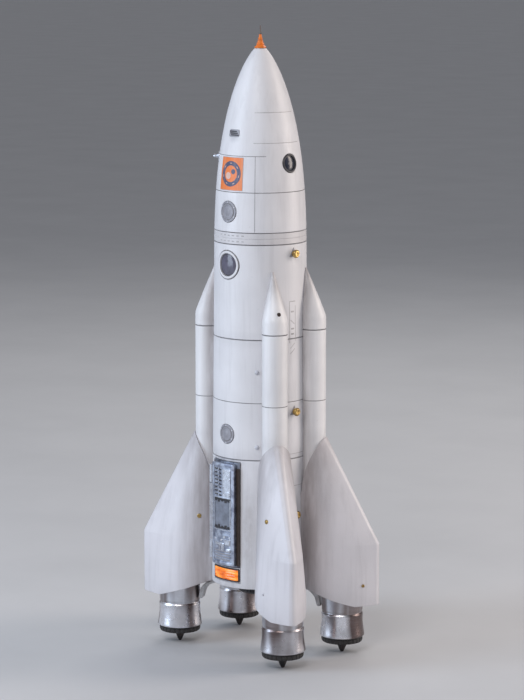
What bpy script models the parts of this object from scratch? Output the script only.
"""Model rocket: a tapered core with four strap-on boosters, each on a finned nozzle pod.

The rocket stands on the four spike tips. The core's axis is world Z and the floor is z = 0.
The detail side (hatch, lamp, portholes) faces -Y and the launch rail buttons face +X.
"""
import math

import bmesh
import bpy
from mathutils import Matrix, Vector

MM = 0.001

# Core: heights of its sections, from the base upwards, and its radii
BASE_HEIGHT = 47.5 * MM
AFT_LENGTH = 88.2 * MM
MID_LENGTH = 81.3 * MM
FORWARD_LENGTH = 63.5 * MM
BAND_HEIGHT = 8.0 * MM
NOSE_LENGTH = 120.4 * MM
BASE_RADIUS = 33.15 * MM
TAPER = 2.08 * MM
OGIVE_DROP = 13.5 * MM
OGIVE_OVERRUN = 2.7 * MM
OGIVE_POWER = 2.5
OGIVE_EXPONENT = 0.68
FORWARD_WALL = 2.45 * MM
AFT_WALL = 2.35 * MM
NOSE_WALL = 1.8 * MM

# Nose tip, shoulder and recovery gear
COLLAR_HEIGHT = 5.1 * MM
COLLAR_TOP_RADIUS = 1.9 * MM
NEEDLE_LENGTH = 9.5 * MM
NEEDLE_RADIUS = 1.5 * MM
NEEDLE_TIP_RADIUS = 0.3 * MM
NEEDLE_SHANK_RADIUS = 0.9 * MM
NEEDLE_SHANK_LENGTH = 14.0 * MM
SHOULDER_LENGTH = 26.0 * MM
SHOULDER_SEAT = 4.0 * MM
SHOULDER_WALL = 1.5 * MM
BULKHEAD_THICKNESS = 3.0 * MM
EYELET_RADIUS = 4.0 * MM
EYELET_WIRE = 0.9 * MM
PARACHUTE_LENGTH = 58.0 * MM

# Motor and its mount
MOTOR_RADIUS = 11.9 * MM
MOTOR_LENGTH = 70.0 * MM
MOTOR_WALL = 2.6 * MM
MOUNT_WALL = 0.9 * MM
MOUNT_LENGTH = 98.0 * MM
THRUST_RING_HEIGHT = 5.0 * MM
THRUST_RING_WIDTH = 3.2 * MM
CENTERING_THICKNESS = 3.0 * MM
COUPLER_LENGTH = 24.0 * MM
COUPLER_WALL = 1.5 * MM
RETAINER_HEIGHT = 7.9 * MM
RETAINER_WALL = 2.2 * MM
RETAINER_LIP = 1.5 * MM

# Boosters: radial sizes are measured from the booster tube's own axis,
# the nose's rises from the top of the middle section and the fin's from the core's base
BOOSTER_AZIMUTHS = {"front": -30.0, "right": 30.0, "rear": 150.0, "left": -150.0}
BOOSTER_RADIUS = 8.6 * MM
BOOSTER_TIP_RADIUS = 0.6 * MM
BOOSTER_STANDOFF = 5.3 * MM
BOOSTER_APEX_RISE = 46.0 * MM
BOOSTER_SHOULDER_RISE = 13.6 * MM
BOOSTER_SEAM_RISE = 5.0 * MM
BOOSTER_TUBE_RISE = 60.5 * MM
FIN_TOP_RISE = 100.5 * MM
FIN_ROOT_RISE = 62.5 * MM
FIN_CORNER_RISE = 29.5 * MM
FIN_EDGE_DROP = 13.0 * MM
FIN_LOW_DROP = 13.2 * MM
FIN_INNER_DROP = 1.5 * MM
FIN_REACH = 46.2 * MM
FIN_HALF_WIDTH = 17.4 * MM
FIN_ROOT_HALF_WIDTH = 10.5 * MM
FIN_EDGE_HALF_WIDTH = 1.8 * MM
FIN_SKIN = 1.1 * MM
POD_OUTSET = 20.8 * MM

# Pod nozzles, spikes and struts
NECK_RADIUS = 13.9 * MM
NECK_RISE = 6.5 * MM
BELL_TOP_HEIGHT = 27.0 * MM
BELL_RADIUS = 15.2 * MM
BELL_BOTTOM_HEIGHT = 12.0 * MM
RIM_BOTTOM_HEIGHT = 8.0 * MM
RIM_RADIUS = 13.8 * MM
NOZZLE_WALL = 1.6 * MM
NOZZLE_FLOOR_HEIGHT = 20.0 * MM
SPIKE_RADIUS = 8.2 * MM
SPIKE_TIP_RADIUS = 0.9 * MM
SPIKE_SEAT_RADIUS = 3.0 * MM
SPIKE_SEAT_DEPTH = 5.0 * MM
STRUT_HALF_WIDTH = 3.4 * MM

# Hatch and lamp on the aft section
HATCH_AZIMUTH = -91.0
HATCH_WIDTH = 19.4 * MM
HATCH_HEIGHT = 69.8 * MM
HATCH_RISE = 15.5 * MM
FRAME_HINGE_MARGIN = 3.8 * MM
FRAME_LATCH_MARGIN = 2.6 * MM
FRAME_END_MARGIN = 1.1 * MM
FRAME_INSET = 2.2 * MM
FRAME_PROUD = 0.6 * MM
DOOR_THICKNESS = 3.0 * MM
DOOR_RELIEF = 0.8 * MM
DOOR_RIM = 2.3 * MM
WINDOW_WIDTH = 13.6 * MM
WINDOW_HEIGHT = 18.6 * MM
WINDOW_RISE = 35.3 * MM
WINDOW_THICKNESS = 1.2 * MM
HINGE_PIN_RADIUS = 0.8 * MM
KNUCKLE_RADIUS = 1.8 * MM
KNUCKLE_OFFSET = 2.4 * MM
KNUCKLE_WEB = 1.2 * MM
KNUCKLE_MARGIN = 3.0 * MM
KNUCKLE_HEIGHT = 12.0 * MM
LAMP_RISE = 3.8 * MM
LENS_WIDTH = 22.8 * MM
LENS_MARGIN = 1.5 * MM
LENS_PROUD = 0.9 * MM
LENS_THICKNESS = 2.0 * MM

# Avionics behind the hatch
SLED_STANDOFF = 1.6 * MM
SLED_WIDTH = 25.0 * MM
SLED_THICKNESS = 1.2 * MM
BATTERY_SIZE = (14.0 * MM, 4.6 * MM, 30.0 * MM)
BATTERY_RISE = 13.2 * MM
BOARD_SIZE = (20.0 * MM, 1.6 * MM, 32.0 * MM)
BOARD_RISE = 2.0 * MM

# Round fittings in the hull: rise above the bottom of their own section, azimuth and radius
MAIN_PORT_RISE = 49.7 * MM
MAIN_PORT_RADIUS = 9.7 * MM
MAIN_GLASS_RADIUS = 7.0 * MM
SIDE_PORT_RISE = 45.6 * MM
SIDE_PORT_RADIUS = 6.2 * MM
SIDE_GLASS_RADIUS = 4.8 * MM
UPPER_COVER_RISE = 13.6 * MM
UPPER_COVER_RADIUS = 7.0 * MM
LOWER_COVER_RISE = 16.8 * MM
LOWER_COVER_RADIUS = 6.5 * MM
FITTING_PROUD = 0.6 * MM
SIDE_PIN_RISE = 48.9 * MM
SIDE_PIN_AZIMUTH = -135.0
SIDE_PIN_RADIUS = 1.6 * MM
SIDE_PIN_PROUD = 4.0 * MM
BUTTON_RISES = {"upper": 57.2 * MM, "middle": 32.0 * MM, "lower": 49.7 * MM}
BUTTON_HEAD_RADIUS = 3.1 * MM
BUTTON_STEM_RADIUS = 1.6 * MM
BUTTON_PROUD = 3.8 * MM
BUTTON_HEAD_HEIGHT = 1.8 * MM
DETAIL_AZIMUTH = -90.0
RAIL_AZIMUTH = 0.0

# Clearances
SEAM_GAP = 0.3 * MM
SLIDE_CLEARANCE = 0.4 * MM
MOTOR_CLEARANCE = 0.35 * MM
DOOR_GAP = 0.35 * MM
CUT_MARGIN = 2.0 * MM

# Mesh fineness
CORE_SEGMENTS = 36
BOOSTER_SEGMENTS = 20
POD_SEGMENTS = 20
SMALL_SEGMENTS = 12
NOSE_RINGS = 9
FIN_LEVELS = 6
FIN_FLANK_POINTS = 5

# Heights that follow from the sections
AFT_TOP = BASE_HEIGHT + AFT_LENGTH
MID_TOP = AFT_TOP + MID_LENGTH
BAND_BOTTOM = MID_TOP + FORWARD_LENGTH
BAND_TOP = BAND_BOTTOM + BAND_HEIGHT
NOSE_TOP = BAND_TOP + NOSE_LENGTH
OGIVE_START = BAND_BOTTOM - OGIVE_DROP
TAPER_TOP_RADIUS = BASE_RADIUS - TAPER
BOOSTER_APEX_HEIGHT = MID_TOP + BOOSTER_APEX_RISE
BOOSTER_SHOULDER_HEIGHT = MID_TOP + BOOSTER_SHOULDER_RISE
BOOSTER_SEAM_HEIGHT = MID_TOP + BOOSTER_SEAM_RISE
BOOSTER_TUBE_BOTTOM = BASE_HEIGHT + BOOSTER_TUBE_RISE
FIN_TOP_HEIGHT = BASE_HEIGHT + FIN_TOP_RISE
FIN_ROOT_HEIGHT = BASE_HEIGHT + FIN_ROOT_RISE
FIN_CORNER_HEIGHT = BASE_HEIGHT + FIN_CORNER_RISE
FIN_EDGE_BOTTOM = BASE_HEIGHT - FIN_EDGE_DROP
FIN_LOW_HEIGHT = BASE_HEIGHT - FIN_LOW_DROP
FIN_INNER_BOTTOM = BASE_HEIGHT - FIN_INNER_DROP
NECK_TOP_HEIGHT = BASE_HEIGHT + NECK_RISE
HATCH_BOTTOM = BASE_HEIGHT + HATCH_RISE
HATCH_TOP = HATCH_BOTTOM + HATCH_HEIGHT
WINDOW_CENTRE = HATCH_BOTTOM + WINDOW_RISE
LAMP_BOTTOM = BASE_HEIGHT + LAMP_RISE


def hull_radius(height):
    """The core's outside radius: a slight taper, then a blunt ogive."""
    if height <= OGIVE_START:
        share = (height - BASE_HEIGHT) / (OGIVE_START - BASE_HEIGHT)
        return BASE_RADIUS - TAPER * max(share, 0.0)
    share = (height - OGIVE_START) / (NOSE_TOP + OGIVE_OVERRUN - OGIVE_START)
    return TAPER_TOP_RADIUS * (1.0 - share ** OGIVE_POWER) ** OGIVE_EXPONENT


# Radii that follow from the hull
FORWARD_BORE = hull_radius(BAND_BOTTOM) - FORWARD_WALL
AFT_BORE = hull_radius(AFT_TOP) - AFT_WALL
SHOULDER_RADIUS = FORWARD_BORE - SLIDE_CLEARANCE
SHOULDER_BOTTOM = BAND_BOTTOM - SHOULDER_LENGTH
COUPLER_RADIUS = FORWARD_BORE - SEAM_GAP
COUPLER_BORE = COUPLER_RADIUS - COUPLER_WALL
MOUNT_BORE = MOTOR_RADIUS + MOTOR_CLEARANCE
MOUNT_RADIUS = MOUNT_BORE + MOUNT_WALL
AFT_RING_BOTTOM = BASE_HEIGHT + SEAM_GAP
AFT_RING_TOP = AFT_RING_BOTTOM + CENTERING_THICKNESS
RETAINER_TOP = AFT_RING_BOTTOM - SEAM_GAP
RETAINER_BOTTOM = RETAINER_TOP - RETAINER_HEIGHT
MOTOR_BOTTOM = RETAINER_BOTTOM + RETAINER_LIP + SEAM_GAP
MOUNT_BOTTOM = MOTOR_BOTTOM + 2.0 * SEAM_GAP + RETAINER_LIP
MOUNT_TOP = MOUNT_BOTTOM + MOUNT_LENGTH
BOOSTER_CENTRE = hull_radius(BOOSTER_SEAM_HEIGHT) + BOOSTER_STANDOFF
POD_CENTRE = BOOSTER_CENTRE + POD_OUTSET
FIN_EDGE_RADIUS = BOOSTER_CENTRE + FIN_REACH
HATCH_MIDDLE = 0.5 * (HATCH_BOTTOM + HATCH_TOP)
HATCH_HULL = hull_radius(HATCH_MIDDLE)
HATCH_HALF_ANGLE = 0.5 * HATCH_WIDTH / HATCH_HULL
FRAME_FIRST = math.radians(HATCH_AZIMUTH) - HATCH_HALF_ANGLE - FRAME_HINGE_MARGIN / HATCH_HULL
FRAME_LAST = math.radians(HATCH_AZIMUTH) + HATCH_HALF_ANGLE + FRAME_LATCH_MARGIN / HATCH_HULL
DOOR_INNER = HATCH_HULL + FRAME_PROUD + DOOR_GAP
DOOR_OUTER = DOOR_INNER + DOOR_THICKNESS
HINGE_RADIUS = HATCH_HULL + FRAME_PROUD + DOOR_GAP + KNUCKLE_RADIUS
HINGE_ANGLE = math.radians(HATCH_AZIMUTH) - HATCH_HALF_ANGLE - KNUCKLE_OFFSET / HATCH_HULL


def polar(radius, angle, height=0.0):
    """A point from its distance to the core's axis, its angle in radians and its height."""
    return Vector((radius * math.cos(angle), radius * math.sin(angle), height))


def steps(first, last, count):
    """Evenly spaced values, both ends included."""
    return [first + (last - first) * index / (count - 1) for index in range(count)]


def paint(name, colour, roughness=0.45, metallic=0.0, alpha=1.0):
    """A Principled material."""
    material = bpy.data.materials.new(name)
    material.use_nodes = True
    shader = material.node_tree.nodes["Principled BSDF"]
    shader.inputs["Base Color"].default_value = (*colour, 1.0)
    shader.inputs["Roughness"].default_value = roughness
    shader.inputs["Metallic"].default_value = metallic
    shader.inputs["Alpha"].default_value = alpha
    return material


def add_object(name, bm, material=None, parent=None, location=(0.0, 0.0, 0.0), angle=0.0):
    """Turn a bmesh into a named object with its faces pointing outwards."""
    bmesh.ops.recalc_face_normals(bm, faces=bm.faces)
    if bm.calc_volume(signed=True) < 0.0:
        bmesh.ops.reverse_faces(bm, faces=bm.faces)
    mesh = bpy.data.meshes.new(name)
    bm.to_mesh(mesh)
    bm.free()
    mesh.shade_smooth()
    mesh.set_sharp_from_angle(angle=math.radians(35.0))
    piece = bpy.data.objects.new(name, mesh)
    bpy.context.collection.objects.link(piece)
    piece.parent = parent
    piece.location = location
    piece.rotation_euler = (0.0, 0.0, angle)
    if material:
        mesh.materials.append(material)
    return piece


def add_cutter(name, bm, parent=None, location=(0.0, 0.0, 0.0), angle=0.0):
    """A shape that only cuts or trims others."""
    cutter = add_object(name, bm, None, parent, location, angle)
    cutter.hide_render = True
    cutter.display_type = "WIRE"
    return cutter


def combine(piece, other, operation):
    """A Boolean modifier on the piece."""
    modifier = piece.modifiers.new(operation.lower(), "BOOLEAN")
    modifier.operation = operation
    modifier.object = other
    return piece


def lathe(profile, segments):
    """Turn a closed profile of (radius, height) points round Z; points on the axis become poles."""
    bm = bmesh.new()
    rings = []
    for radius, height in profile:
        if radius <= 0.0:
            rings.append([bm.verts.new((0.0, 0.0, height))])
            continue
        turns = [math.tau * index / segments for index in range(segments)]
        rings.append([bm.verts.new(polar(radius, turn, height)) for turn in turns])
    for lower, upper in zip(rings, rings[1:] + rings[:1]):
        for index in range(segments):
            following = (index + 1) % segments
            if len(lower) == 1 and len(upper) == 1:
                break
            if len(lower) == 1:
                bm.faces.new((lower[0], upper[following], upper[index]))
            elif len(upper) == 1:
                bm.faces.new((lower[index], lower[following], upper[0]))
            else:
                bm.faces.new((lower[index], lower[following], upper[following], upper[index]))
    return bm


def loft(rings, mirrored=False):
    """Skin a list of rings with equal point counts and cap both ends, across the middle if mirrored."""
    bm = bmesh.new()
    levels = [[bm.verts.new(point) for point in ring] for ring in rings]
    count = len(levels[0])
    for lower, upper in zip(levels, levels[1:]):
        for index in range(count):
            following = (index + 1) % count
            bm.faces.new((lower[index], lower[following], upper[following], upper[index]))
    for ring in (levels[0], levels[-1]):
        if not mirrored:
            bm.faces.new(ring)
            continue
        for index in range(count // 2 - 1):
            bm.faces.new((ring[index], ring[index + 1], ring[-index - 2], ring[-index - 1]))
    return bm


def curved_block(inner, outer, first_angle, last_angle, bottom, top, count=9):
    """A plate bent round the core's axis."""
    rings = []
    for angle in steps(first_angle, last_angle, count):
        corners = ((inner, bottom), (outer, bottom), (outer, top), (inner, top))
        rings.append([polar(radius, angle, height) for radius, height in corners])
    return loft(rings)


def flat_block(size, centre):
    """A box from its size and centre."""
    bm = bmesh.new()
    bmesh.ops.create_cube(bm, size=1.0)
    bmesh.ops.scale(bm, vec=size, verts=bm.verts)
    bmesh.ops.translate(bm, vec=centre, verts=bm.verts)
    return bm


def hull_heights(bottom, top, count=3):
    """Heights for a hull outline; the start of the ogive is always one of them."""
    heights = steps(bottom, top, count)
    if bottom < OGIVE_START < top:
        heights = sorted(heights + [OGIVE_START])
    return heights


def hull_skin(bottom, top, inner, proud, count):
    """The hull's wall as a solid of revolution, standing proud of it by a set amount."""
    heights = hull_heights(bottom, top, count)
    outside = [(hull_radius(height) + proud, height) for height in heights]
    inside = [(inner(height), height) for height in reversed(heights)]
    return outside + inside


def hull_cutter():
    """The whole core with a seam's gap round it, which trims everything mounted on its side."""
    heights = [BELL_TOP_HEIGHT] + steps(BASE_HEIGHT, OGIVE_START, 3) + steps(OGIVE_START, BAND_BOTTOM, 4)[1:]
    profile = [(hull_radius(height) + SEAM_GAP, height) for height in heights]
    return add_cutter("cut_hull", lathe([(0.0, heights[0])] + profile + [(0.0, heights[-1])], CORE_SEGMENTS))


def radial_lathe(profile, segments, azimuth, height):
    """A turned piece whose axis points straight out of the core; its profile height runs outwards."""
    bm = lathe(profile, segments)
    turn = Matrix.Rotation(math.radians(azimuth), 4, "Z") @ Matrix.Rotation(math.radians(90.0), 4, "Y")
    bmesh.ops.transform(bm, matrix=Matrix.Translation((0.0, 0.0, height)) @ turn, verts=bm.verts)
    return bm


def nose_inside(height):
    """The nose shell's inside radius, which also seats the shoulder."""
    return min(SHOULDER_RADIUS + SEAM_GAP, hull_radius(height) - NOSE_WALL)


def build_nose(paints):
    """The nose section: everything that lifts off with the nose cone."""
    needle_hole = NEEDLE_SHANK_RADIUS + SEAM_GAP
    bottom = BAND_TOP + SEAM_GAP
    cavity_top = NOSE_TOP - 0.5 * NEEDLE_SHANK_LENGTH
    outside = []
    for share in steps(0.0, 1.0, NOSE_RINGS):
        height = bottom + (NOSE_TOP - bottom) * (1.0 - (1.0 - share) ** 1.6)
        outside.append((hull_radius(height), height))
    inside = [(needle_hole, NOSE_TOP), (needle_hole, cavity_top)]
    for height in steps(cavity_top - 2.0 * NOSE_WALL, bottom, 6):
        inside.append((nose_inside(height), height))
    shell = add_object("nose_shell", lathe(outside + inside, CORE_SEGMENTS), paints["white"])

    collar_bottom = NOSE_TOP + SEAM_GAP
    collar_top = collar_bottom + COLLAR_HEIGHT
    collar = [
        (needle_hole, collar_bottom),
        (hull_radius(NOSE_TOP), collar_bottom),
        (0.5 * (hull_radius(NOSE_TOP) + COLLAR_TOP_RADIUS) - SEAM_GAP, 0.5 * (collar_bottom + collar_top)),
        (COLLAR_TOP_RADIUS, collar_top),
        (needle_hole, collar_top),
    ]
    add_object("tip_collar", lathe(collar, SMALL_SEGMENTS), paints["orange"])
    seat = collar_top + SEAM_GAP
    needle = [
        (0.0, seat - NEEDLE_SHANK_LENGTH),
        (NEEDLE_SHANK_RADIUS, seat - NEEDLE_SHANK_LENGTH),
        (NEEDLE_SHANK_RADIUS, seat),
        (NEEDLE_RADIUS, seat),
        (0.5 * NEEDLE_RADIUS, seat + 0.4 * NEEDLE_LENGTH),
        (NEEDLE_TIP_RADIUS, seat + NEEDLE_LENGTH),
        (0.0, seat + NEEDLE_LENGTH),
    ]
    add_object("tip_needle", lathe(needle, SMALL_SEGMENTS), paints["dark_metal"])

    band_bottom = BAND_BOTTOM + SEAM_GAP
    groove = 0.5 * (band_bottom + BAND_TOP)
    bore = SHOULDER_RADIUS + SEAM_GAP
    band = [
        (hull_radius(band_bottom), band_bottom),
        (hull_radius(groove), groove - SEAM_GAP),
        (hull_radius(groove) - SEAM_GAP, groove),
        (hull_radius(groove), groove + SEAM_GAP),
        (hull_radius(BAND_TOP), BAND_TOP),
        (bore, BAND_TOP),
        (bore, band_bottom),
    ]
    add_object("separation_band", lathe(band, CORE_SEGMENTS), paints["grey_white"])

    shoulder_bore = SHOULDER_RADIUS - SHOULDER_WALL
    shoulder_top = BAND_TOP + SHOULDER_SEAT
    shoulder = [
        (SHOULDER_RADIUS, SHOULDER_BOTTOM),
        (SHOULDER_RADIUS, shoulder_top),
        (shoulder_bore, shoulder_top),
        (shoulder_bore, SHOULDER_BOTTOM),
    ]
    add_object("nose_shoulder", lathe(shoulder, CORE_SEGMENTS), paints["card"])

    disc_bottom = SHOULDER_BOTTOM + SEAM_GAP
    disc_radius = shoulder_bore - SEAM_GAP
    disc_top = disc_bottom + BULKHEAD_THICKNESS
    stem_bottom = disc_bottom - EYELET_WIRE
    disc = [
        (0.0, disc_bottom - 2.0 * EYELET_WIRE),
        (2.0 * EYELET_WIRE, stem_bottom),
        (2.0 * EYELET_WIRE, disc_bottom),
        (disc_radius, disc_bottom),
        (disc_radius, disc_top),
        (0.0, disc_top),
    ]
    bulkhead = add_object("nose_bulkhead", lathe(disc, 2 * SMALL_SEGMENTS), paints["ply"])
    eye = lathe_ring(EYELET_RADIUS, EYELET_WIRE)
    eye_centre = (0.0, 0.0, disc_bottom - EYELET_RADIUS - EYELET_WIRE)
    combine(bulkhead, add_cutter("join_eyelet", eye, location=eye_centre), "UNION")

    pack_top = disc_bottom - 2.0 * (EYELET_RADIUS + EYELET_WIRE) - CUT_MARGIN
    pack_bottom = pack_top - PARACHUTE_LENGTH
    pack_radius = COUPLER_BORE - CUT_MARGIN
    pack_round = 0.25 * pack_radius
    pack = [
        (0.0, pack_bottom),
        (pack_radius - pack_round, pack_bottom),
        (pack_radius, pack_bottom + pack_round),
        (pack_radius, pack_top - pack_round),
        (pack_radius - pack_round, pack_top),
        (0.0, pack_top),
    ]
    add_object("parachute_pack", lathe(pack, POD_SEGMENTS), paints["nylon"])

    fit_disc(shell, "upper_port_cover", BAND_TOP + UPPER_COVER_RISE, DETAIL_AZIMUTH, UPPER_COVER_RADIUS,
             nose_inside, paints["grey"])
    fit_porthole(shell, "side_porthole", BAND_TOP + SIDE_PORT_RISE, RAIL_AZIMUTH, SIDE_PORT_RADIUS,
                 SIDE_GLASS_RADIUS, nose_inside, paints["dark_metal"], paints["glass"])
    fit_stud(shell, "side_pin", BAND_TOP + SIDE_PIN_RISE, SIDE_PIN_AZIMUTH, SIDE_PIN_PROUD,
             SIDE_PIN_RADIUS, 0.5 * SIDE_PIN_RADIUS, SIDE_PIN_PROUD, NOSE_WALL, paints["steel"])


def lathe_ring(radius, wire):
    """A torus standing upright in the XZ plane."""
    profile = []
    for index in range(8):
        turn = math.tau * index / 8
        profile.append((radius + wire * math.cos(turn), wire * math.sin(turn)))
    bm = lathe(profile, SMALL_SEGMENTS)
    bmesh.ops.rotate(bm, matrix=Matrix.Rotation(math.radians(90.0), 3, "X"), verts=bm.verts)
    return bm


def drill(shell, name, radius, azimuth, height):
    """A round hole through the shell's wall, along the core's radius."""
    reach = BASE_RADIUS + CUT_MARGIN
    profile = [(0.0, 0.5 * BASE_RADIUS), (radius, 0.5 * BASE_RADIUS), (radius, reach), (0.0, reach)]
    cutter = add_cutter("cut_" + name, radial_lathe(profile, POD_SEGMENTS, azimuth, height))
    combine(shell, cutter, "DIFFERENCE")


def wall_plug(name, hole, radius, azimuth, height, inside, recess, material):
    """A round plug or ring that fills a hole in the wall and follows the hull's curve."""
    reach = BASE_RADIUS + CUT_MARGIN
    start = 0.5 * BASE_RADIUS
    if hole > 0.0:
        profile = [(hole, start), (radius, start), (radius, reach), (hole, reach)]
    else:
        profile = [(0.0, start), (radius, start), (radius, reach), (0.0, reach)]
    plug = add_object(name, radial_lathe(profile, POD_SEGMENTS, azimuth, height), material)
    margin = radius + CUT_MARGIN

    def inner(level):
        return inside(level) + SEAM_GAP

    skin = hull_skin(height - margin, height + margin, inner, recess, 5)
    combine(plug, add_cutter("trim_" + name, lathe(skin, CORE_SEGMENTS)), "INTERSECT")


def fit_disc(shell, name, height, azimuth, radius, inside, material):
    """A round cover let into the wall."""
    drill(shell, name, radius + SEAM_GAP, azimuth, height)
    wall_plug(name, 0.0, radius, azimuth, height, inside, FITTING_PROUD, material)


def fit_porthole(shell, name, height, azimuth, radius, glass_radius, inside, ring_paint, glass_paint):
    """A ring let into the wall, with a pane inside it that sits a little lower."""
    drill(shell, name, radius + SEAM_GAP, azimuth, height)
    wall_plug(name + "_ring", glass_radius + SEAM_GAP, radius, azimuth, height, inside, FITTING_PROUD, ring_paint)
    wall_plug(name + "_glass", 0.0, glass_radius, azimuth, height, inside, -SEAM_GAP, glass_paint)


def fit_stud(shell, name, height, azimuth, proud, stem, head, head_height, wall, material):
    """A stud whose stem goes through the wall and whose head stands out of it."""
    surface = hull_radius(height)
    drill(shell, name, stem + SEAM_GAP, azimuth, height)
    start = surface - wall + SEAM_GAP
    top = surface + proud
    profile = [
        (0.0, start),
        (stem, start),
        (stem, top - head_height + SEAM_GAP),
        (head, top - head_height + SEAM_GAP),
        (head, top - 0.3 * head_height),
        (0.7 * head, top),
        (0.0, top),
    ]
    if head < stem:
        profile = [(0.0, start), (stem, start), (stem, surface + SEAM_GAP), (head, top), (0.0, top)]
    add_object(name, radial_lathe(profile, SMALL_SEGMENTS, azimuth, height), material)


def body_tube(name, bottom, top, bore, material):
    """A section of the core's hull."""
    profile = hull_skin(bottom, top, lambda height: bore, 0.0, 3)
    return add_object(name, lathe(profile, CORE_SEGMENTS), material)


def ring_part(name, inner, outer, bottom, top, material, segments=CORE_SEGMENTS):
    """A plain ring or tube."""
    profile = [(outer, bottom), (outer, top), (inner, top), (inner, bottom)]
    return add_object(name, lathe(profile, segments), material)


def build_body(paints):
    """The three body tubes with their couplers, fittings and rail buttons."""
    forward = body_tube("forward_tube", MID_TOP + SEAM_GAP, BAND_BOTTOM, FORWARD_BORE, paints["white"])
    middle = body_tube("mid_tube", AFT_TOP + SEAM_GAP, MID_TOP, FORWARD_BORE, paints["white"])
    aft = body_tube("aft_tube", BASE_HEIGHT, AFT_TOP, AFT_BORE, paints["white"])
    ring_part("body_coupler", COUPLER_BORE, COUPLER_RADIUS, MID_TOP - 0.5 * COUPLER_LENGTH,
              MID_TOP + 0.5 * COUPLER_LENGTH, paints["card"])

    def forward_inside(height):
        return FORWARD_BORE

    fit_porthole(forward, "main_porthole", MID_TOP + MAIN_PORT_RISE, DETAIL_AZIMUTH, MAIN_PORT_RADIUS,
                 MAIN_GLASS_RADIUS, forward_inside, paints["white"], paints["glass"])
    fit_disc(middle, "lower_port_cover", AFT_TOP + LOWER_COVER_RISE, DETAIL_AZIMUTH, LOWER_COVER_RADIUS,
             forward_inside, paints["grey"])
    sections = {
        "upper": (forward, MID_TOP, FORWARD_BORE),
        "middle": (middle, AFT_TOP, FORWARD_BORE),
        "lower": (aft, BASE_HEIGHT, AFT_BORE),
    }
    for place, rise in BUTTON_RISES.items():
        tube, bottom, bore = sections[place]
        height = bottom + rise
        fit_stud(tube, "rail_button_" + place, height, RAIL_AZIMUTH, BUTTON_PROUD, BUTTON_STEM_RADIUS,
                 BUTTON_HEAD_RADIUS, BUTTON_HEAD_HEIGHT, hull_radius(height) - bore, paints["brass"])
    return aft


def build_motor(paints):
    """The motor mount in the aft section, and the motor that slides out of it."""
    ring_part("motor_mount_tube", MOUNT_BORE, MOUNT_RADIUS, MOUNT_BOTTOM, MOUNT_TOP, paints["card"],
              2 * SMALL_SEGMENTS)
    ring_hole = MOUNT_RADIUS + SEAM_GAP
    aft_outer = AFT_BORE - SEAM_GAP
    ring_part("aft_centering_ring", ring_hole, aft_outer, AFT_RING_BOTTOM, AFT_RING_TOP, paints["ply"])
    spigot_top = AFT_TOP + SEAM_GAP + 0.5 * COUPLER_LENGTH
    plate_top = AFT_TOP - SEAM_GAP
    forward_ring = [
        (aft_outer, plate_top - CENTERING_THICKNESS),
        (aft_outer, plate_top),
        (COUPLER_RADIUS, plate_top),
        (COUPLER_RADIUS, spigot_top),
        (COUPLER_BORE, spigot_top),
        (COUPLER_BORE, plate_top),
        (ring_hole, plate_top),
        (ring_hole, plate_top - CENTERING_THICKNESS),
    ]
    add_object("forward_centering_ring", lathe(forward_ring, CORE_SEGMENTS), paints["ply"])
    thrust_bottom = MOTOR_BOTTOM + MOTOR_LENGTH + SEAM_GAP
    thrust_outer = MOUNT_BORE - SEAM_GAP
    ring_part("thrust_ring", thrust_outer - THRUST_RING_WIDTH, thrust_outer, thrust_bottom,
              thrust_bottom + THRUST_RING_HEIGHT, paints["card"], 2 * SMALL_SEGMENTS)

    motor_top = MOTOR_BOTTOM + MOTOR_LENGTH
    throat = 0.25 * MOTOR_RADIUS
    casing = [
        (0.0, MOTOR_BOTTOM + 2.0 * MOTOR_RADIUS),
        (throat, MOTOR_BOTTOM + 0.8 * MOTOR_RADIUS),
        (MOTOR_RADIUS - MOTOR_WALL, MOTOR_BOTTOM),
        (MOTOR_RADIUS, MOTOR_BOTTOM),
        (MOTOR_RADIUS, motor_top),
        (0.0, motor_top),
    ]
    add_object("motor_casing", lathe(casing, 2 * SMALL_SEGMENTS), paints["motor_card"])
    retainer_bore = MOUNT_RADIUS + SEAM_GAP
    retainer_outer = retainer_bore + RETAINER_WALL
    lip_radius = MOTOR_RADIUS - 0.5 * MOTOR_WALL
    retainer = [
        (retainer_outer, RETAINER_BOTTOM + RETAINER_LIP),
        (retainer_outer, RETAINER_TOP),
        (retainer_bore, RETAINER_TOP),
        (retainer_bore, RETAINER_BOTTOM + RETAINER_LIP),
        (lip_radius, RETAINER_BOTTOM + RETAINER_LIP),
        (lip_radius, RETAINER_BOTTOM),
        (retainer_outer - RETAINER_LIP, RETAINER_BOTTOM),
    ]
    add_object("motor_retainer", lathe(retainer, 2 * SMALL_SEGMENTS), paints["dark_metal"])


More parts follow.
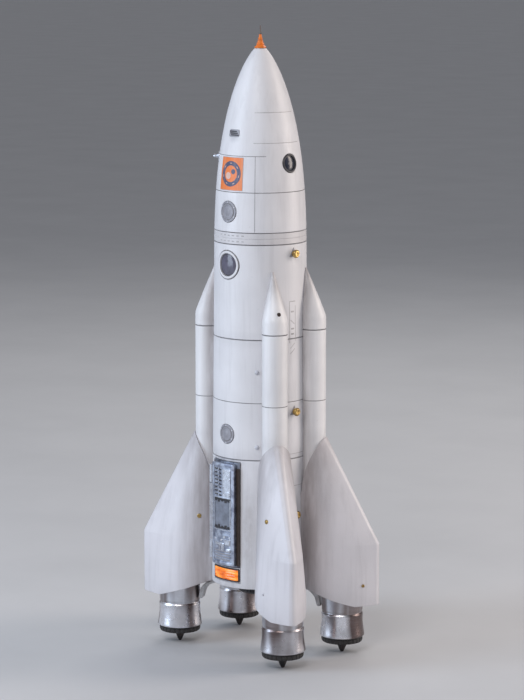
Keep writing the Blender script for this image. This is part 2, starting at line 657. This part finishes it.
def build_hatch(aft, paints):
    """The hatch frame, door and window, its hinge pin, and the lamp below the hatch."""
    centre = math.radians(HATCH_AZIMUTH)
    frame_bottom = HATCH_BOTTOM - FRAME_END_MARGIN
    frame_top = HATCH_TOP + FRAME_END_MARGIN
    gap_angle = SEAM_GAP / HATCH_HULL
    outside = BASE_RADIUS + CUT_MARGIN
    cutout = curved_block(AFT_BORE - CUT_MARGIN, outside, FRAME_FIRST - gap_angle, FRAME_LAST + gap_angle,
                          LAMP_BOTTOM - SEAM_GAP, frame_top + SEAM_GAP, 13)
    combine(aft, add_cutter("cut_hatch_bay", cutout), "DIFFERENCE")

    frame_outer = HATCH_HULL + FRAME_PROUD
    frame = add_object("hatch_frame", curved_block(AFT_BORE, frame_outer, FRAME_FIRST, FRAME_LAST,
                       frame_bottom, frame_top, 11), paints["steel"])
    open_half = HATCH_HALF_ANGLE - FRAME_INSET / HATCH_HULL
    opening = curved_block(AFT_BORE - CUT_MARGIN, outside, centre - open_half, centre + open_half,
                           HATCH_BOTTOM + FRAME_INSET, HATCH_TOP - FRAME_INSET, 9)
    combine(frame, add_cutter("cut_hatch_opening", opening), "DIFFERENCE")

    hinge = polar(HINGE_RADIUS, HINGE_ANGLE)
    door_mesh = curved_block(DOOR_INNER, DOOR_OUTER, centre - HATCH_HALF_ANGLE, centre + HATCH_HALF_ANGLE,
                             HATCH_BOTTOM, HATCH_TOP, 11)
    bmesh.ops.translate(door_mesh, vec=-hinge, verts=door_mesh.verts)
    door = add_object("hatch_door", door_mesh, paints["steel"], location=hinge)
    rim = DOOR_RIM / HATCH_HULL
    relief = curved_block(DOOR_OUTER - DOOR_RELIEF, DOOR_OUTER + CUT_MARGIN, centre - HATCH_HALF_ANGLE + rim,
                          centre + HATCH_HALF_ANGLE - rim, HATCH_BOTTOM + DOOR_RIM, HATCH_TOP - DOOR_RIM, 9)
    combine(door, add_cutter("cut_door_relief", relief), "DIFFERENCE")

    pane_half = 0.5 * WINDOW_WIDTH / HATCH_HULL
    pane_bottom = WINDOW_CENTRE - 0.5 * WINDOW_HEIGHT
    pane_top = WINDOW_CENTRE + 0.5 * WINDOW_HEIGHT
    pocket_floor = DOOR_OUTER - DOOR_RELIEF - WINDOW_THICKNESS
    pocket = curved_block(pocket_floor - SEAM_GAP, DOOR_OUTER + CUT_MARGIN, centre - pane_half - gap_angle,
                          centre + pane_half + gap_angle, pane_bottom - SEAM_GAP, pane_top + SEAM_GAP, 7)
    combine(door, add_cutter("cut_door_window", pocket), "DIFFERENCE")
    pane = curved_block(pocket_floor, pocket_floor + WINDOW_THICKNESS, centre - pane_half, centre + pane_half,
                        pane_bottom, pane_top, 7)
    bmesh.ops.translate(pane, vec=-hinge, verts=pane.verts)
    add_object("door_window", pane, paints["glass"], location=hinge)
    build_hinge(door, frame, hinge, paints)
    build_lamp(centre, frame_bottom, frame_outer, paints)


def build_hinge(door, frame, hinge, paints):
    """Knuckles on the frame and the door, and the pin through them."""
    low = HATCH_BOTTOM + KNUCKLE_MARGIN
    high = HATCH_TOP - KNUCKLE_MARGIN
    pin = [(0.0, low), (HINGE_PIN_RADIUS, low), (HINGE_PIN_RADIUS, high), (0.0, high)]
    add_object("hinge_pin", lathe(pin, SMALL_SEGMENTS), paints["steel"], location=hinge)
    bore_radius = HINGE_PIN_RADIUS + SEAM_GAP
    spans = {
        "lower": (frame, low, low + KNUCKLE_HEIGHT),
        "upper": (frame, high - KNUCKLE_HEIGHT, high),
        "door": (door, low + KNUCKLE_HEIGHT + DOOR_GAP, high - KNUCKLE_HEIGHT - DOOR_GAP),
    }
    web_angle = KNUCKLE_WEB / HATCH_HULL
    door_web_angle = (KNUCKLE_OFFSET + 2.0 * KNUCKLE_WEB) / HATCH_HULL
    for place, (owner, bottom, top) in spans.items():
        barrel = [(0.0, bottom), (KNUCKLE_RADIUS, bottom), (KNUCKLE_RADIUS, top), (0.0, top)]
        join = add_cutter("join_knuckle_" + place, lathe(barrel, SMALL_SEGMENTS), location=hinge)
        combine(owner, join, "UNION")
        if owner == frame:
            web = curved_block(HATCH_HULL - FRAME_PROUD, HINGE_RADIUS - 0.5 * HINGE_PIN_RADIUS,
                               HINGE_ANGLE - web_angle, HINGE_ANGLE + web_angle, bottom, top, 3)
        else:
            web = curved_block(HINGE_RADIUS - 0.5 * HINGE_PIN_RADIUS, DOOR_OUTER - DOOR_RELIEF, HINGE_ANGLE,
                               HINGE_ANGLE + door_web_angle, bottom, top, 3)
        combine(owner, add_cutter("join_web_" + place, web), "UNION")
    for owner in (door, frame):
        hole = [(0.0, low - CUT_MARGIN), (bore_radius, low - CUT_MARGIN), (bore_radius, high + CUT_MARGIN),
                (0.0, high + CUT_MARGIN)]
        cutter = add_cutter("cut_hinge_bore_" + owner.name, lathe(hole, SMALL_SEGMENTS), location=hinge)
        combine(owner, cutter, "DIFFERENCE")


def build_lamp(centre, frame_bottom, frame_outer, paints):
    """The lamp's bezel and its lens, which is let into the bezel's front."""
    bezel_top = frame_bottom - SEAM_GAP
    bezel = add_object("lamp_bezel", curved_block(AFT_BORE, frame_outer, FRAME_FIRST, FRAME_LAST,
                       LAMP_BOTTOM, bezel_top, 11), paints["dark_metal"])
    lens_half = 0.5 * LENS_WIDTH / HATCH_HULL
    gap_angle = SEAM_GAP / HATCH_HULL
    lens_bottom = LAMP_BOTTOM + LENS_MARGIN
    lens_top = bezel_top - LENS_MARGIN
    lens_outer = frame_outer + LENS_PROUD
    lens_inner = lens_outer - LENS_THICKNESS
    pocket = curved_block(lens_inner - SEAM_GAP, lens_outer + CUT_MARGIN, centre - lens_half - gap_angle,
                          centre + lens_half + gap_angle, lens_bottom - SEAM_GAP, lens_top + SEAM_GAP, 9)
    combine(bezel, add_cutter("cut_lens_pocket", pocket), "DIFFERENCE")
    lens = curved_block(lens_inner, lens_outer, centre - lens_half, centre + lens_half, lens_bottom, lens_top, 9)
    add_object("lamp_lens", lens, paints["lamp"])


def build_avionics(paints):
    """The sled on the motor mount, with the battery and the circuit board on it."""
    plate_bottom = AFT_RING_TOP + SEAM_GAP
    plate_top = AFT_TOP - 2.0 * SEAM_GAP - CENTERING_THICKNESS
    turn = math.radians(HATCH_AZIMUTH + 90.0)
    near = MOUNT_RADIUS + SLED_STANDOFF
    sled_centre = (0.0, -near - 0.5 * SLED_THICKNESS, 0.5 * (plate_bottom + plate_top))
    sled_size = (SLED_WIDTH, SLED_THICKNESS, plate_top - plate_bottom)
    add_object("avionics_sled", flat_block(sled_size, sled_centre), paints["ply"], angle=turn)
    face = near + SLED_THICKNESS + SEAM_GAP
    battery_bottom = AFT_RING_TOP + BATTERY_RISE
    board_bottom = battery_bottom + BATTERY_SIZE[2] + BOARD_RISE
    for name, size, bottom in (("battery", BATTERY_SIZE, battery_bottom), ("circuit_board", BOARD_SIZE, board_bottom)):
        centre = (0.0, -face - 0.5 * size[1], bottom + 0.5 * size[2])
        add_object(name, flat_block(size, centre), paints[name], angle=turn)


def booster_nose():
    """A slanted cone that leans onto the core, on a short straight length of tube."""
    apex_centre = hull_radius(BOOSTER_APEX_HEIGHT) + SEAM_GAP
    rings = []
    for share in (0.0, 0.25, 0.5, 0.75, 1.0):
        radius = BOOSTER_RADIUS - (BOOSTER_RADIUS - BOOSTER_TIP_RADIUS) * share ** 1.12
        centre = BOOSTER_CENTRE + (apex_centre - BOOSTER_CENTRE) * share
        height = BOOSTER_SHOULDER_HEIGHT + (BOOSTER_APEX_HEIGHT - BOOSTER_SHOULDER_HEIGHT) * share
        rings.append(circle(centre, radius, height))
    rings.insert(0, circle(BOOSTER_CENTRE, BOOSTER_RADIUS, BOOSTER_SEAM_HEIGHT + SEAM_GAP))
    return loft(rings)


def circle(centre, radius, height):
    """Points of a level circle centred on local X."""
    turns = [math.tau * index / BOOSTER_SEGMENTS for index in range(BOOSTER_SEGMENTS)]
    return [(centre + radius * math.cos(turn), radius * math.sin(turn), height) for turn in turns]


def fin_edge(height):
    """How far out the fin's edge is at a height."""
    inner = BOOSTER_CENTRE + BOOSTER_RADIUS + FIN_SKIN
    share = (FIN_TOP_HEIGHT - height) / (FIN_TOP_HEIGHT - FIN_CORNER_HEIGHT)
    return inner + (FIN_EDGE_RADIUS - inner) * min(max(share, 0.0), 1.0)


def fin_back(height):
    """Where the fairing's back begins: inside the core, or on the tube's front near the top."""
    core = BOOSTER_CENTRE - BOOSTER_STANDOFF
    if height <= FIN_ROOT_HEIGHT:
        return core - CUT_MARGIN
    share = (height - FIN_ROOT_HEIGHT) / (FIN_TOP_HEIGHT - FIN_ROOT_HEIGHT)
    return core + (BOOSTER_CENTRE + BOOSTER_RADIUS - core) * share ** 2.0


def fin_half_width(distance, height):
    """The fairing's half width at a distance from the core's axis and a height."""
    share = min(max((height - BASE_HEIGHT) / (FIN_TOP_HEIGHT - BASE_HEIGHT), 0.0), 1.0)
    narrow = BOOSTER_RADIUS + FIN_SKIN
    widest = narrow + (FIN_HALF_WIDTH - narrow) * (1.0 - share ** 1.1)
    ridge = BOOSTER_CENTRE + 0.7 * POD_OUTSET * (1.0 - share)
    edge = fin_edge(height)
    if distance >= ridge:
        fall = min((distance - ridge) / (edge - ridge), 1.0)
        return FIN_EDGE_HALF_WIDTH + (widest - FIN_EDGE_HALF_WIDTH) * (1.0 - fall ** 1.75)
    root = min(FIN_ROOT_HALF_WIDTH, widest)
    rise = min((ridge - distance) / (ridge - hull_radius(height)), 1.0)
    return widest - (widest - root) * rise ** 1.6


def fin_underside(distance):
    """The fairing's lower surface: lowest under the pod, rising towards the core."""
    low = POD_CENTRE + 0.8 * NECK_RADIUS
    if distance >= low:
        share = (distance - low) / (FIN_EDGE_RADIUS - low)
        return FIN_LOW_HEIGHT + (FIN_EDGE_BOTTOM - FIN_LOW_HEIGHT) * share
    share = (low - distance) / (low - BASE_RADIUS)
    return FIN_LOW_HEIGHT + (FIN_INNER_BOTTOM - FIN_LOW_HEIGHT) * min(share, 1.0)


def fin_ring(height, underside=False):
    """The fairing's outline at one level: one flank outwards, then the other flank back."""
    distances = steps(fin_back(height), fin_edge(height), FIN_FLANK_POINTS + 2)
    flank = []
    for distance in distances:
        level = fin_underside(distance) if underside else height
        flank.append((distance, fin_half_width(distance, height), level))
    mirrored = [(distance, -width, level) for distance, width, level in reversed(flank)]
    return flank + mirrored


def fin_fairing():
    """The wedge-shaped fin that carries the nozzle pod."""
    rings = [fin_ring(BASE_HEIGHT, underside=True)]
    rings += [fin_ring(height) for height in steps(BASE_HEIGHT + SEAM_GAP, FIN_CORNER_HEIGHT, 3)]
    rings += [fin_ring(height) for height in steps(FIN_CORNER_HEIGHT, FIN_TOP_HEIGHT, FIN_LEVELS)[1:]]
    return loft(rings, mirrored=True)


def nozzle_profile():
    """A hollow neck that plugs into the fairing, a collar groove, a bell and a narrower dark rim."""
    bore = RIM_RADIUS - NOZZLE_WALL
    seat_top = NOZZLE_FLOOR_HEIGHT + SPIKE_SEAT_DEPTH + SEAM_GAP
    neck_bore = NECK_RADIUS - NOZZLE_WALL
    return [
        (0.0, seat_top + NOZZLE_WALL),
        (neck_bore, seat_top + NOZZLE_WALL),
        (neck_bore, NECK_TOP_HEIGHT),
        (NECK_RADIUS, NECK_TOP_HEIGHT),
        (NECK_RADIUS, BELL_TOP_HEIGHT + NOZZLE_WALL),
        (NECK_RADIUS - SEAM_GAP, BELL_TOP_HEIGHT),
        (BELL_RADIUS - SEAM_GAP, 0.5 * (BELL_TOP_HEIGHT + BELL_BOTTOM_HEIGHT)),
        (BELL_RADIUS, BELL_BOTTOM_HEIGHT + NOZZLE_WALL),
        (BELL_RADIUS - SEAM_GAP, BELL_BOTTOM_HEIGHT),
        (RIM_RADIUS, BELL_BOTTOM_HEIGHT),
        (RIM_RADIUS - SEAM_GAP, RIM_BOTTOM_HEIGHT),
        (bore, RIM_BOTTOM_HEIGHT),
        (SPIKE_RADIUS + NOZZLE_WALL, NOZZLE_FLOOR_HEIGHT),
        (SPIKE_SEAT_RADIUS + SEAM_GAP, NOZZLE_FLOOR_HEIGHT),
        (SPIKE_SEAT_RADIUS + SEAM_GAP, seat_top),
        (0.0, seat_top),
    ]


def spike_profile():
    """A concave cone that hangs from the nozzle's floor and ends in a small flat foot."""
    top = NOZZLE_FLOOR_HEIGHT - SEAM_GAP
    profile = [(0.0, 0.0), (SPIKE_TIP_RADIUS, 0.0)]
    for share in (0.2, 0.4, 0.6, 0.8, 1.0):
        radius = SPIKE_TIP_RADIUS + (SPIKE_RADIUS - SPIKE_TIP_RADIUS) * share ** 1.15
        profile.append((radius, top * share))
    profile += [(SPIKE_SEAT_RADIUS, top), (SPIKE_SEAT_RADIUS, top + SPIKE_SEAT_DEPTH), (0.0, top + SPIKE_SEAT_DEPTH)]
    return profile


def strut_mesh():
    """An arched bracket from under the core's base to the side of the nozzle's neck."""
    end = POD_CENTRE - NECK_RADIUS - SEAM_GAP
    top = BASE_HEIGHT - SEAM_GAP
    start = AFT_BORE - 8.0 * MM
    outline = [
        (start, top - 3.4 * MM),
        (BASE_RADIUS - 3.0 * MM, top - 3.8 * MM),
        (BASE_RADIUS + 2.0 * MM, top - 5.4 * MM),
        (end - 4.4 * MM, top - 9.4 * MM),
        (end - 2.8 * MM, top - 16.0 * MM),
        (end, top - 16.0 * MM),
        (end - 1.2 * MM, top - 8.6 * MM),
        (end - 4.6 * MM, top - 4.9 * MM),
        (BASE_RADIUS + 0.6 * MM, top - 3.0 * MM),
        (BASE_RADIUS - 2.4 * MM, top),
        (start, top),
    ]
    bm = bmesh.new()
    for side in (-STRUT_HALF_WIDTH, STRUT_HALF_WIDTH):
        bm.faces.new([bm.verts.new((distance, side, height)) for distance, height in outline])
    bm.faces.ensure_lookup_table()
    first = list(bm.faces[0].verts)
    second = list(bm.faces[1].verts)
    for index in range(len(first)):
        following = (index + 1) % len(first)
        bm.faces.new((first[index], first[following], second[following], second[index]))
    return bm


def build_booster(place, azimuth, hull, paints):
    """One booster with its fairing, nozzle, spike and strut, built along local X and turned."""
    frame = bpy.data.objects.new("booster_axis_" + place, None)
    bpy.context.collection.objects.link(frame)
    frame.rotation_euler = (0.0, 0.0, math.radians(azimuth))

    nose = add_object("booster_nose_" + place, booster_nose(), paints["white"], frame)
    combine(nose, hull, "DIFFERENCE")
    tube_rings = [circle(BOOSTER_CENTRE, BOOSTER_RADIUS, height) for height in (BOOSTER_TUBE_BOTTOM, BOOSTER_SEAM_HEIGHT)]
    tube = add_object("booster_tube_" + place, loft(tube_rings), paints["white"], frame)
    combine(tube, hull, "DIFFERENCE")

    fairing = add_object("fin_fairing_" + place, fin_fairing(), paints["white"], frame)
    combine(fairing, hull, "DIFFERENCE")
    socket_radius = BOOSTER_RADIUS + SEAM_GAP
    heights = (BOOSTER_TUBE_BOTTOM - SEAM_GAP, FIN_TOP_HEIGHT + CUT_MARGIN)
    socket = loft([circle(BOOSTER_CENTRE, socket_radius, height) for height in heights])
    combine(fairing, add_cutter("cut_tube_socket_" + place, socket, frame), "DIFFERENCE")
    neck_hole = NECK_RADIUS + SEAM_GAP
    hole_top = NECK_TOP_HEIGHT + SEAM_GAP
    hole = [(0.0, 0.0), (neck_hole, 0.0), (neck_hole, hole_top), (0.0, hole_top)]
    pod = (POD_CENTRE, 0.0, 0.0)
    combine(fairing, add_cutter("cut_neck_" + place, lathe(hole, POD_SEGMENTS), frame, pod), "DIFFERENCE")

    add_object("nozzle_" + place, lathe(nozzle_profile(), POD_SEGMENTS), paints["aluminium"], frame, pod)
    add_object("nozzle_spike_" + place, lathe(spike_profile(), SMALL_SEGMENTS), paints["black"], frame, pod)
    add_object("nozzle_strut_" + place, strut_mesh(), paints["grey_white"], frame)


def make_paints():
    """The materials, one for each finish."""
    return {
        "white": paint("white_paint", (0.86, 0.86, 0.87), 0.38),
        "grey_white": paint("grey_white_paint", (0.74, 0.74, 0.75), 0.42),
        "grey": paint("grey_paint", (0.42, 0.43, 0.45), 0.45),
        "orange": paint("orange_paint", (0.85, 0.22, 0.03), 0.4),
        "steel": paint("blued_steel", (0.34, 0.37, 0.43), 0.35, 0.8),
        "dark_metal": paint("dark_metal", (0.05, 0.05, 0.06), 0.4, 0.6),
        "aluminium": paint("aluminium", (0.72, 0.72, 0.74), 0.28, 1.0),
        "brass": paint("brass", (0.75, 0.5, 0.16), 0.3, 1.0),
        "black": paint("black_plastic", (0.03, 0.03, 0.032), 0.5),
        "glass": paint("tinted_glass", (0.04, 0.05, 0.08), 0.08, 0.0, 0.8),
        "lamp": paint("amber_lens", (0.95, 0.36, 0.04), 0.2),
        "card": paint("brown_card", (0.45, 0.36, 0.26), 0.8),
        "motor_card": paint("red_card", (0.5, 0.12, 0.08), 0.7),
        "ply": paint("plywood", (0.62, 0.48, 0.3), 0.7),
        "nylon": paint("orange_nylon", (0.9, 0.32, 0.06), 0.6),
        "battery": paint("battery_wrap", (0.1, 0.16, 0.4), 0.4),
        "circuit_board": paint("circuit_green", (0.03, 0.22, 0.1), 0.45),
    }


def build():
    """Empty the scene and make the whole rocket."""
    for old in list(bpy.data.objects):
        bpy.data.objects.remove(old, do_unlink=True)
    paints = make_paints()
    build_nose(paints)
    aft = build_body(paints)
    build_motor(paints)
    build_hatch(aft, paints)
    build_avionics(paints)
    hull = hull_cutter()
    for place, azimuth in BOOSTER_AZIMUTHS.items():
        build_booster(place, azimuth, hull, paints)


build()
